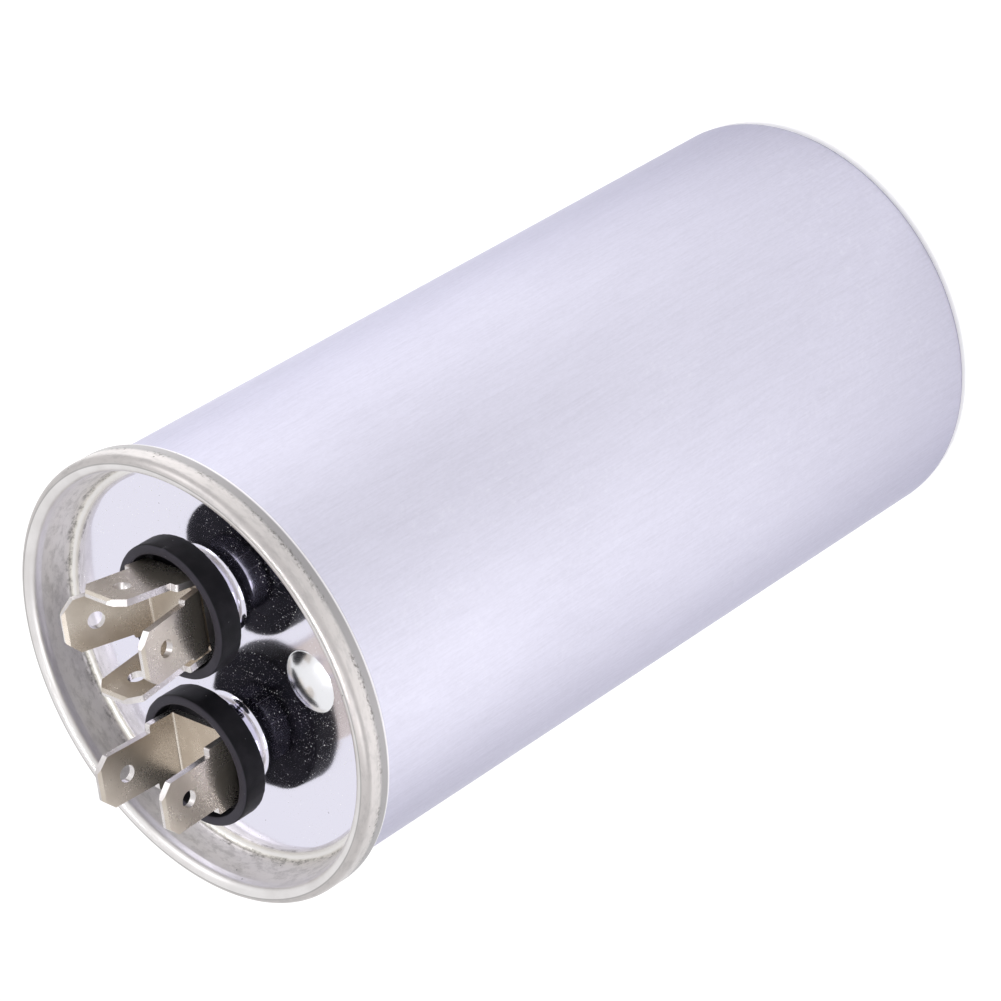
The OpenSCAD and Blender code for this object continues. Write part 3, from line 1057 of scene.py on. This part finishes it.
@dataclass
class Lid:
    """The drawn lid: one sheet from the seam's curl to the collars' holes.

    A corner holds a radius, a height from the seam's top, and the radius of its bend. Heights
    of the collars are from the panel's edge.
    """

    revolve: RevolveTree
    top: float = 103.8
    sheet: float = 0.35
    skin_start: Point = (25.45, -1.6)
    curl: Corner = (26.025, -3.225, 0.575)
    crown: Corner = (25.625, -0.975, 0.975)
    inner_wall: tuple[Corner, ...] = ((24.65, -1.2, 0), (24.65, -1.575, 0.6), (23.81, -4.6, 0))
    groove: Corner = (23.06, -4.65, 0.75)
    groove_end: tuple[Corner, ...] = ((23.0, -5.4, 0), (22.85, -5.39, 0.5), (22.45, -5.3, 0.8))
    panel_height: float = -5.3
    panel_edge: float = 21.8
    panel_lip: float = 0.2
    collar_x: float = 9.2
    collar_radius: float = 4.4
    collar_height: float = 3.0
    collar_foot: float = 1.0
    collar_edge: float = 0.5
    collar_reach: float = 5.95
    collar_lip: float = 0.2
    curl_steps: int = 12
    crown_steps: int = 20
    groove_steps: int = 10
    collar_steps: int = 8
    bore: float = 3.0
    dish: float = 0.85
    dish_margin: float = 0.4
    rim_segments: int = 256
    collar_segments: int = 128
    panel_rings: int = 16
    ring_step: int = 8
    ring_gap: float = 0.4
    weld: float = 0.002

    def rim_profile(self) -> list[Point]:
        """Draws the rim's outer skin.

        Returns:
            Its points, from inside the curl over the crown to the panel.
        """
        lip = (self.panel_edge + self.panel_lip, self.panel_height, 0)
        return [
            self.skin_start,
            *arc(self.curl[:2], self.curl[2], 180, 360, self.curl_steps),
            *arc(self.crown[:2], self.crown[2], 0, 180, self.crown_steps),
            *rounded(self.inner_wall),
            *arc(self.groove[:2], self.groove[2], 0, -90, self.groove_steps),
            *rounded([*self.groove_end, lip]),
            (self.panel_edge, self.panel_height),
        ]

    def collar_profile(self) -> list[Point]:
        """Draws a collar's skin.

        Returns:
            Its points, from the panel up to its hole.
        """
        foot = (self.collar_radius + self.collar_foot, self.collar_foot)
        shoulder = (self.collar_radius - self.collar_edge, self.collar_height - self.collar_edge)
        return [
            (self.collar_reach, 0.0),
            (self.collar_reach - self.collar_lip, 0.0),
            *arc(foot, self.collar_foot, 270, 180, self.collar_steps),
            *arc(shoulder, self.collar_edge, 0, 90, self.collar_steps),
            (self.bore, self.collar_height),
        ]

    def panel(self) -> bpy.types.Mesh:
        """The flat panel round the two collars.

        Returns:
            The mesh, in metres.
        """
        sheet = FlatSheet()
        sheet.circle((0.0, 0.0), self.panel_edge, self.rim_segments)
        for x in (-self.collar_x, self.collar_x):
            sheet.hole((x, 0.0), self.collar_reach, self.collar_segments)
        for ring in range(1, self.panel_rings):
            radius, count = self.panel_edge * ring / self.panel_rings, self.ring_step * ring
            start = 180 / count * (ring % 2)
            spots = map(Vector, arc((0.0, 0.0), radius, start, start + 360, count)[:-1])
            sheet.points += [spot for spot in spots if sheet.is_clear(spot, self.ring_gap)]
        points, faces = sheet.cut(SAME_POINT)
        mesh = bpy.data.meshes.new("panel")
        height = (self.top + self.panel_height) * MM
        mesh.from_pydata([(p.x * MM, p.y * MM, height) for p in points], [], faces)
        return mesh

    def sag(self, radius: float) -> float:
        """How far the dished panel lies below its edge at a radius, in millimetres."""
        return self.dish * max(0.0, 1 - (radius / (self.panel_edge + self.dish_margin)) ** 2)

    def press(self, work: bmesh.types.BMesh) -> None:
        """Dishes the panel and lets the collars' feet follow it.

        Args:
            work: The skin's bmesh, in place, in metres.
        """
        base = self.top + self.panel_height
        for vertex in work.verts:
            share = 1 - (vertex.co.z / MM - base) / (self.collar_height - self.collar_edge)
            drop = self.sag(vertex.co.xy.length / MM) * min(max(share, 0.0), 1.0)
            vertex.co.z -= drop * MM

    def skin(self, material: bpy.types.Material) -> bpy.types.Mesh:
        """The sheet's outer skin, joined from its rim, panel and collars.

        Args:
            material: The lid's material.

        Returns:
            The mesh, in metres.
        """
        rim = self.revolve.sweep(self.rim_profile(), material, segments=self.rim_segments)
        rim.transform(shift(0, 0, self.top))
        parts = [rim, self.panel()]
        for x in (-self.collar_x, self.collar_x):
            profile = self.collar_profile()
            collar = self.revolve.sweep(profile, material, segments=self.collar_segments)
            collar.transform(shift(x, 0, self.top + self.panel_height))
            parts.append(collar)
        work = bmesh.new()
        for part in parts:
            work.from_mesh(part)
            bpy.data.meshes.remove(part)
        bmesh.ops.remove_doubles(work, verts=work.verts, dist=self.weld * MM)
        self.press(work)
        bmesh.ops.recalc_face_normals(work, faces=work.faces)
        if max(work.faces, key=lambda face: face.calc_area()).normal.z < 0:
            bmesh.ops.reverse_faces(work, faces=work.faces)
        mesh = bpy.data.meshes.new("lid_skin")
        work.to_mesh(mesh)
        work.free()
        mesh.materials.append(material)
        return mesh

    def build(self, material: bpy.types.Material) -> None:
        """Makes the lid's piece, with its sheet's thickness.

        Args:
            material: The lid's material.
        """
        holder = hold("lid_skin", self.skin(material))
        solid = holder.modifiers.new("sheet", "SOLIDIFY")
        solid.thickness = self.sheet * MM
        solid.offset = -1.0
        mesh = finish_mesh(apply_modifiers(holder), outwards=False)
        add_piece("lid_shell", mesh, Slot.LID, "lid")


@dataclass
class FillSeal:
    """The domed seal over the filling hole."""

    revolve: RevolveTree
    lid: Lid
    radius: float = 3.7
    height: float = 1.1
    plug_radius: float = 1.15
    plug_depth: float = 0.4
    edge_width: float = 0.12
    edge_height: float = 0.06
    edge_share: float = 0.97
    dome_steps: int = 24
    segments: int = 96
    distance: float = 13.6
    angle: float = -83.0

    def build(self, material: bpy.types.Material) -> None:
        """Makes the seal's piece.

        Args:
            material: The seal's material.
        """
        dome = (self.radius**2 + self.height**2) / (2 * self.height)
        reach = math.degrees(math.asin(self.radius / dome)) * self.edge_share
        profile = [
            (0.0, -self.plug_depth),
            (self.plug_radius, -self.plug_depth),
            (self.plug_radius, 0.0),
            (self.radius - self.edge_width, 0.0),
            (self.radius, self.edge_height),
            *arc((0.0, self.height - dome), dome, 90 - reach, 90, self.dome_steps),
        ]
        mesh = self.revolve.sweep(profile, material, segments=self.segments)
        turn = math.radians(self.angle)
        x, y = self.distance * math.cos(turn), self.distance * math.sin(turn)
        level = self.lid.top + self.lid.panel_height - self.lid.sag(self.distance)
        mesh.transform(shift(x, y, level))
        add_piece("fill_dome", finish_mesh(mesh), Slot.SOLDER, "fill_seal")


@dataclass
class InsulatorCup:
    """A moulded cup that stands on a collar and holds a bracket's base."""

    revolve: RevolveTree
    name: str
    node: str
    x: float
    seed: float
    burr_angle: float | None = None
    burr_width: float = 2.2
    burr_reach: float = 0.26
    most_reach: float = 0.3
    base: float = 101.5
    radius: float = 7.9
    wall: float = 1.15
    floor: float = 0.8
    height: float = 3.05
    bore: float = 1.75
    edge_radii: tuple[float, ...] = (0.25, 0.30, 0.22, 0.2)
    wall_rows: tuple[float, ...] = (0.25, 0.5, 0.75)
    rough_band: float = 0.5
    swell_cells: float = 6.0
    swell: float = 0.035
    ripple_cells: float = 2.5
    ripple: float = 0.06
    corner_steps: int = 5

    def profile(self) -> list[Point]:
        """Draws the closed half section of the cup.

        Returns:
            Its points, from the bore along the outside and back inside.
        """
        inner = self.radius - self.wall
        foot, lip, inner_lip, inner_foot = self.edge_radii
        edge = rounded(
            [
                (self.bore, 0.0, 0),
                (self.radius, 0.0, foot),
                (self.radius, self.height, lip),
                (inner, self.height, inner_lip),
                (inner, self.floor, inner_foot),
                (self.bore, self.floor, 0),
            ],
            steps=self.corner_steps,
        )
        rows = [(self.radius, self.height * share) for share in self.wall_rows]
        at = next(i for i, p in enumerate(edge) if p[0] > self.radius - SAME_POINT)
        return edge[: at + 1] + rows + edge[at + 1 :]

    def roughen(self, work: bmesh.types.BMesh) -> None:
        """Makes the moulded edges a little uneven and adds the burr.

        Args:
            work: The cup's bmesh, about the Z axis, in metres.
        """
        for vertex in work.verts:
            radius, height = vertex.co.xy.length / MM, vertex.co.z / MM
            if radius < self.radius - self.rough_band:
                continue
            angle = math.atan2(vertex.co.y, vertex.co.x)
            x, y = math.cos(angle) * self.swell_cells, math.sin(angle) * self.swell_cells
            spot = Vector((x, y, height + self.seed))
            low = max(0.0, 1 - height / self.rough_band)
            outward = noise.noise(spot) * self.swell
            outward += noise.noise(spot * self.ripple_cells) * self.ripple * low
            if self.burr_angle is not None:
                apart = (math.degrees(angle) - self.burr_angle + 180) % 360 - 180
                high = max(0.0, 1 - abs(height - self.height) / self.rough_band)
                outward += self.burr_reach * math.exp(-((apart / self.burr_width) ** 2)) * high
            grown = min(radius + outward, self.radius + self.most_reach) / radius
            vertex.co.x *= grown
            vertex.co.y *= grown

    def build(self, material: bpy.types.Material) -> None:
        """Makes the cup's piece.

        Args:
            material: The cup's material.
        """
        mesh = self.revolve.sweep(self.profile(), material, closed=True)
        mesh = finish_mesh(mesh, self.roughen)
        mesh.transform(shift(self.x, 0, self.base))
        add_piece(self.name, mesh, Slot.BLACK_PLASTIC, self.node)


@dataclass
class BladeBracket:
    """A U bracket folded from tab stock, with a quick-connect blade at each end."""

    name: str
    node: str
    x: float
    base: float
    turn: float
    gap: float
    root_width: float
    root_height: float
    lean: tuple[float, float]
    stock: float = 0.8
    fold: float = 0.3
    blade_width: float = 6.35
    blade_length: float = 7.6
    tip_cut: float = 1.5
    hole: float = 1.0
    hole_drop: float = 3.7
    shoulder_radius: float = 0.3
    shoulder_drop: float = 0.01
    notch_radius: float = 0.12
    tip_radius: float = 0.15
    bulge: float = 0.09
    outer_bulge: float = 0.5
    bulge_reach: float = 0.05
    bevel_length: float = 0.45
    bevel_depth: float = 0.2
    edge_round: float = 0.09
    edge_steps: int = 3
    edge_bend: float = 50.0
    sharp_bend: float = 9.0
    corner_steps: int = 12
    fold_steps: int = 12
    hole_steps: int = 48
    same_point: float = 1e-5

    @property
    def flat(self) -> float:
        """Half the flat length of the base."""
        return self.gap / 2 - self.fold

    @property
    def middle(self) -> float:
        """Radius of the fold's middle line."""
        return self.fold + self.stock / 2

    def bend(self, side: int) -> float:
        """The angle that a fold turns through, in radians."""
        return math.pi / 2 - math.radians(self.lean[0 if side < 0 else 1])

    def fold_end(self, side: int) -> float:
        """Where a fold ends, along the blank."""
        return self.flat + self.bend(side) * self.middle

    def shoulder(self, side: int) -> float:
        """Where the shoulders lie, along the blank."""
        return self.fold_end(side) + self.root_height - self.fold - self.shoulder_drop

    def tip(self, side: int) -> float:
        """Where the blade's tip lies, along the blank."""
        return self.shoulder(side) + self.blade_length

    def outline(self, side: int) -> list[Point]:
        """Half of the blank's outline, from the base's middle to the tip and back.

        Args:
            side: 1 for the blade at the +Y end and -1 for the other.

        Returns:
            (across, along) points of the blank, with along measured on its middle line.
        """
        shoulder, tip = self.shoulder(side), self.tip(side)
        root, blade = self.root_width / 2, self.blade_width / 2
        right = rounded(
            [
                (root, 0.0, 0),
                (root, shoulder, self.shoulder_radius),
                (blade, shoulder, self.notch_radius),
                (blade, tip - self.tip_cut, self.tip_radius),
                (blade - self.tip_cut, tip, self.tip_radius),
                (0.0, tip, 0),
            ],
            steps=self.corner_steps,
        )
        left = [(-x, y) for x, y in reversed(right)]
        return [(x, y * side) for x, y in right + left[1:]]

    def place(self, across: float, along: float, height: float) -> Vector:
        """Where a point of the flat blank comes to once it is folded.

        Args:
            across: Position across the blank.
            along: Position along the blank's middle line.
            height: Height over the middle line, towards the inside of the folds.

        Returns:
            The point in the bracket's own frame, in millimetres.
        """
        side = -1 if along < 0 else 1
        run, bend = abs(along), self.bend(side)
        turn = min(max((run - self.flat) / self.middle, 0.0), bend)
        straight = max(run - self.fold_end(side), 0.0)
        out = min(run, self.flat) + self.middle * math.sin(turn)
        out += straight * math.cos(turn) - height * math.sin(turn)
        level = self.stock / 2 + self.middle * (1 - math.cos(turn))
        level += straight * math.sin(turn) + height * math.cos(turn)
        if 0 < turn < bend and abs(across) > self.root_width / 2 - self.bulge_reach:
            bulge = self.bulge * math.sin(math.pi * turn / bend)
            across += math.copysign(bulge * (1.0 if height > 0 else self.outer_bulge), across)
        return Vector((across, side * out, level))

    def half_stock(self, along: float) -> float:
        """Thins the stock towards the blades' tips.

        Args:
            along: Position along the blank's middle line.

        Returns:
            Half the stock's thickness there.
        """
        start = self.tip(-1 if along < 0 else 1) - self.bevel_length
        share = min(max((abs(along) - start) / self.bevel_length, 0.0), 1.0)
        return self.stock / 2 - self.bevel_depth * share

    def blank(self) -> tuple[list[Vector], list[list[int]]]:
        """Cuts the flat blank into triangles.

        Returns:
            Its points and its faces.
        """
        outline: list[Point] = []
        for p in self.outline(1)[:-1] + self.outline(-1)[:0:-1]:
            if not outline or (Vector(p) - Vector(outline[-1])).length > SAME_POINT:
                outline.append(p)
        sheet = FlatSheet()
        sheet.loop(outline)
        for side in (-1, 1):
            end, tip = self.fold_end(side), self.tip(side)
            sheet.hole((0.0, side * (tip - self.hole_drop)), self.hole, self.hole_steps)
            for i in range(self.fold_steps + 1):
                row = self.flat + (end - self.flat) * i / self.fold_steps
                sheet.line_across(self.root_width / 2, side * row)
            cut = max(0.0, self.tip_cut - self.bevel_length)
            sheet.line_across(self.blade_width / 2 - cut, side * (tip - self.bevel_length))
        return sheet.cut(self.same_point)

    def folded(self, material: bpy.types.Material, cut: bpy.types.Material) -> bpy.types.Mesh:
        """Folds the blank, with its stock's thickness.

        Args:
            material: The bracket's material.
            cut: The material of its stamped edges.

        Returns:
            The mesh, in metres and in the bracket's own frame.
        """
        flat, faces = self.blank()
        count = len(flat)
        places = [
            self.place(p.x, p.y, side * self.half_stock(p.y)) * MM for side in (1, -1) for p in flat
        ]
        ways = dict.fromkeys(way for face in faces for way in zip(face, face[1:] + face[:1]))
        walls = [[b, a, a + count, b + count] for a, b in ways if (b, a) not in ways]
        under = [[i + count for i in reversed(face)] for face in faces]
        mesh = bpy.data.meshes.new(self.name)
        mesh.from_pydata(places, [], faces + under + walls)
        mesh.materials.append(material)
        mesh.materials.append(cut)
        for face in mesh.polygons[len(faces) + len(under) :]:
            face.material_index = 1
        return finish_mesh(mesh, sharp_degrees=self.sharp_bend)

    def build(self, material: bpy.types.Material, cut: bpy.types.Material) -> None:
        """Makes the bracket's piece, with its stamped edges rounded.

        Args:
            material: The bracket's material.
            cut: The material of its stamped edges.
        """
        holder = hold("blank", self.folded(material, cut))
        bevel = holder.modifiers.new("edges", "BEVEL")
        bevel.width = self.edge_round * MM
        bevel.segments = self.edge_steps
        bevel.limit_method = "ANGLE"
        bevel.angle_limit = math.radians(self.edge_bend)
        mesh = apply_modifiers(holder)
        turn = Matrix.Rotation(math.radians(self.turn), 4, "Z")
        mesh.transform(shift(self.x, 0, self.base) @ turn)
        mesh = finish_mesh(mesh, sharp_degrees=self.sharp_bend)
        add_piece(self.name, mesh, Slot.TINNED_STEEL, self.node)


@dataclass
class SealedInside:
    """The pieces inside the can and the collars, which keep their solids."""

    groups: dict[str, tuple[str, ...]] = field(
        default_factory=lambda: {
            "stud": ("stud_four_way", "stud_two_way", "lug_four_way", "lug_two_way"),
            "bush": ("grommet_four_way", "grommet_two_way"),
            "card": ("washer_four_way", "washer_two_way", "top_disc", "liner_sleeve"),
            "lead": ("lead_top", "lead_bottom"),
            "film": ("winding",),
            "pale": ("core_tube", "bottom_cup"),
            "zinc": ("end_spray_top", "end_spray_bottom"),
            "compound": ("seam_compound",),
        }
    )

    def dress(self, finishes: dict[str, bpy.types.Material]) -> None:
        """Gives each solid its finish.

        Args:
            finishes: The material of each group.
        """
        for group, nodes in self.groups.items():
            for node in nodes:
                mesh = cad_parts[node].data
                mesh.materials.clear()
                mesh.materials.append(finishes[group])
                log.info("solid %s: finish %s", node, finishes[group].name)


# ---------------------------------------------------------------------------
# Studio
# ---------------------------------------------------------------------------


@dataclass
class SoftBox:
    """A soft square lamp that faces a point, in metres, watts and degrees."""

    name: str
    place: Triple
    aim: Triple
    side: float
    power: float
    spread: float = 180.0

    def build(self) -> None:
        """Makes the lamp."""
        lamp = bpy.data.lights.new(self.name, "AREA")
        lamp.shape = "RECTANGLE"
        lamp.size = lamp.size_y = self.side
        lamp.energy = self.power
        lamp.spread = math.radians(self.spread)
        holder = hold(self.name, lamp)
        holder.location = self.place
        facing = Vector(self.aim) - Vector(self.place)
        holder.rotation_euler = facing.to_track_quat("-Z", "Y").to_euler()


@dataclass
class Studio:
    """Floor, world, lamps and camera, in metres."""

    camera_place: Triple = (0.2219, -0.3103, 0.3530)
    camera_right: Triple = (-0.1115, -0.7296, -0.6747)
    camera_up: Triple = (0.8815, 0.2408, -0.4060)
    lens: float = 152.7
    sensor: float = 36.0
    clip: Limits = (0.01, 20.0)
    floor_reach: float = 3.0
    floor_colour: Colour = (0.8, 0.8, 0.8)
    floor_roughness: float = 0.9
    floor_glow: float = 0.30
    world_light: float = 0.95
    white: Colour = (1.0, 1.0, 1.0)
    boxes: tuple[SoftBox, ...] = (
        SoftBox("left_pool", (-0.13, -0.36, 0.40), (-0.05, -0.13, 0.0), 0.25, 0.28),
        SoftBox("right_pool", (0.33, 0.22, 0.40), (0.11, 0.08, 0.0), 0.25, 0.28),
        SoftBox("left_glow", (-0.065, -0.150, 0.90), (-0.065, -0.150, 0.0), 0.06, 0.13, 25.0),
        SoftBox("right_glow", (0.115, 0.125, 0.90), (0.115, 0.125, 0.0), 0.06, 0.165, 25.0),
    )

    def camera(self) -> None:
        """Makes the camera."""
        data = bpy.data.cameras.new("camera")
        data.lens, data.sensor_width = self.lens, self.sensor
        data.clip_start, data.clip_end = self.clip
        right = Vector(self.camera_right).normalized()
        up = Vector(self.camera_up)
        up = (up - right * up.dot(right)).normalized()
        turn = Matrix((right, up, right.cross(up))).transposed().to_4x4()
        holder = hold("camera", data)
        holder.matrix_world = Matrix.Translation(self.camera_place) @ turn
        bpy.context.scene.camera = holder

    def floor(self) -> None:
        """Makes the pale floor, white to the camera and in reflections, with a shadow."""
        s = Shader("pale_floor")
        s.put(Base_Color=self.floor_colour, Roughness=self.floor_roughness, Specular_IOR_Level=0.0)
        bare = s.surface.outputs[0]
        light = {"Color": self.white, "Strength": self.floor_glow}
        glow = s.node("ShaderNodeEmission", None, light).outputs[0]
        both = s.node("ShaderNodeAddShader", None, {0: bare, 1: glow}).outputs[0]
        mixed = s.node("ShaderNodeMixShader", None, {0: s.seen(), 1: bare, 2: both})
        s.feed(s.output.inputs["Surface"], mixed.outputs[0])
        reach = self.floor_reach
        corners = [(-reach, -reach, 0), (reach, -reach, 0), (reach, reach, 0), (-reach, reach, 0)]
        mesh = bpy.data.meshes.new("floor")
        mesh.from_pydata(corners, [], [(0, 1, 2, 3)])
        mesh.materials.append(s.material)
        hold("floor", mesh)

    def world(self) -> None:
        """Makes the soft surrounding light, white where it is seen in metal."""
        world = bpy.data.worlds.new("surround")
        bpy.context.scene.world = world
        world.use_nodes = True
        work = NodeWork(world.node_tree)
        inputs: dict[str | int, Any] = {0: work.seen()}
        for slot, strength in ((1, self.world_light), (2, 1.0)):
            light = {"Color": self.white, "Strength": strength}
            inputs[slot] = work.node("ShaderNodeBackground", None, light).outputs[0]
        mix = work.node("ShaderNodeMixShader", None, inputs)
        work.node("ShaderNodeOutputWorld", None, {"Surface": mix.outputs[0]})

    def build(self) -> None:
        """Makes the whole studio."""
        bpy.context.scene.view_settings.view_transform = "Standard"
        self.camera()
        self.floor()
        self.world()
        for box in self.boxes:
            box.build()
        log.info("studio built")


BRACKETS = (
    BladeBracket("blades_lower", "bracket_lower", 9.2, 102.3, 90.0, 8.2, 8.2, 3.4, (9.0, 6.5)),
    BladeBracket("blades_upper", "bracket_upper", 9.2, 103.1, 0.0, 7.4, 7.3, 2.5, (9.0, 20.0)),
    BladeBracket("blades_two_way", "bracket_two_way", -9.2, 102.3, 0.0, 8.2, 8.2, 3.4, (3.0, 3.0)),
)


def main() -> None:
    """Builds every piece in order."""
    logging.basicConfig(level=logging.INFO, format="%(name)s: %(message)s")
    Studio().build()
    revolve = RevolveTree()
    tin = TinnedSteel().make()
    pits = Specks(size=0.11, share=0.9, cells=1.1)
    cut = TinnedSteel("cut_edge", (0.74, 0.71, 0.71), (0.54, 0.51, 0.51), pits=pits).make()
    black = MouldedBlack().make()
    Can(revolve).build(DrawnAluminium().make())
    lid = Lid(revolve)
    lid.build(BrightTinplate().make())
    FillSeal(revolve, lid).build(PolishedSolder().make())
    for cup in (
        InsulatorCup(revolve, "cup_ring_four_way", "cup_four_way", 9.2, 1.3, burr_angle=-6.0),
        InsulatorCup(revolve, "cup_ring_two_way", "cup_two_way", -9.2, 7.7),
    ):
        cup.build(black)
    for bracket in BRACKETS:
        bracket.build(tin, cut)
    plain = {
        "bush": PlainMatt("bush_rubber", (0.10, 0.045, 0.03), (0.06, 0.03, 0.02)),
        "card": PlainMatt(
            "pressboard", (0.46, 0.33, 0.17), (0.38, 0.26, 0.13), 0.8, (1.5, 1.5, 0.4)
        ),
        "lead": TinnedSteel("lead_strip", (0.62, 0.60, 0.55), (0.5, 0.48, 0.44)),
        "film": PlainMatt(
            "film_roll", (0.66, 0.61, 0.46), (0.58, 0.53, 0.38), 0.35, (6.0, 6.0, 0.2)
        ),
        "pale": PlainMatt("pale_plastic", (0.72, 0.72, 0.66), (0.66, 0.66, 0.60), 0.5),
        "zinc": PlainMatt(
            "sprayed_zinc", (0.32, 0.33, 0.34), (0.22, 0.23, 0.24), 0.8, (3, 3, 3), 1.0, 0.1
        ),
        "compound": PlainMatt("sealing_compound", (0.02, 0.02, 0.02), (0.04, 0.04, 0.04)),
    }
    finishes = {group: finish.make() for group, finish in plain.items()}
    SealedInside().dress({"stud": tin, **finishes})


if __name__ == "__main__":
    main()
